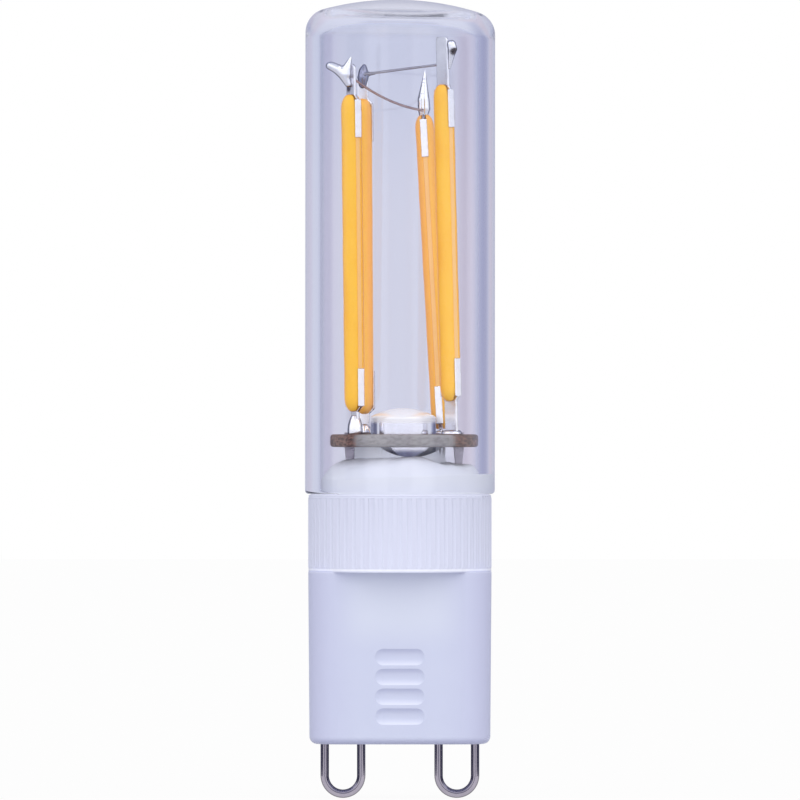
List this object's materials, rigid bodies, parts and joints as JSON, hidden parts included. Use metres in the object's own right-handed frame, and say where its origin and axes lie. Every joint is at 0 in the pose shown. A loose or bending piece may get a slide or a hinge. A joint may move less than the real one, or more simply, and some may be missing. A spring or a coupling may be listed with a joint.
{
  "type": "led capsule bulb",
  "caption": "Clear glass capsule bulb with upright LED filaments on a small board, a ribbed collar, a flat grip base and looped wire contact pins.",
  "frame": {"origin": "centre of the flat underside of the base, between the pins", "axes": "+Z along the bulb from the base to the crown of the glass, -Y to the front, the pins side by side along X"},
  "size_m": [0.015, 0.015, 0.063],
  "materials": {
    "clear_glass": "clear, smooth",
    "white_moulding": "satin",
    "white_insert": "satin",
    "white_silicone": "smooth, slightly glossy",
    "phosphor": "soft, slightly translucent",
    "filament_core": "matt",
    "stamped_steel": "tinned",
    "solder": "bright tin",
    "copper_wire": "tarnished copper",
    "tinned_wire": "tinned",
    "pin_wire": "drawn wire",
    "fibre_board": "pressed fibre",
    "can_aluminium": "polished",
    "bung_rubber": "matt",
    "circuit_board": "satin",
    "chip_package": "matt",
    "chip_resistor": "matt"
  },
  "bodies": {
    "root": {"adhesive_bead": "white_silicone", "base_housing": "white_moulding", "capacitor_bung": "bung_rubber", "capacitor_can": "can_aluminium", "capacitor_leads": "tinned_wire", "chip_resistors": "chip_resistor", "contact_pin_left": "pin_wire", "contact_pin_right": "pin_wire", "driver_board": "circuit_board", "driver_ic": "chip_package", "driver_solder": "solder", "feed_lead_left": "stamped_steel", "feed_lead_right": "stamped_steel", "filament_1_foot_solder": "solder", "filament_1_foot_terminal": "stamped_steel", "filament_1_front_phosphor": "phosphor", "filament_1_rear_phosphor": "phosphor", "filament_1_substrate": "filament_core", "filament_1_top_solder": "solder", "filament_1_top_terminal": "stamped_steel", "filament_2_foot_solder": "solder", "filament_2_foot_terminal": "stamped_steel", "filament_2_front_phosphor": "phosphor", "filament_2_rear_phosphor": "phosphor", "filament_2_substrate": "filament_core", "filament_2_top_solder": "solder", "filament_2_top_terminal": "stamped_steel", "filament_3_foot_solder": "solder", "filament_3_foot_terminal": "stamped_steel", "filament_3_front_phosphor": "phosphor", "filament_3_rear_phosphor": "phosphor", "filament_3_substrate": "filament_core", "filament_3_top_solder": "solder", "filament_3_top_terminal": "stamped_steel", "filament_4_foot_solder": "solder", "filament_4_foot_terminal": "stamped_steel", "filament_4_front_phosphor": "phosphor", "filament_4_rear_phosphor": "phosphor", "filament_4_substrate": "filament_core", "filament_4_top_solder": "solder", "filament_4_top_terminal": "stamped_steel", "filament_board": "fibre_board", "glass_envelope": "clear_glass", "jumper_front": "copper_wire", "jumper_rear": "tinned_wire", "neck_insert": "white_insert", "rectifier_bridge": "chip_package"}
  },
  "joints": []
}
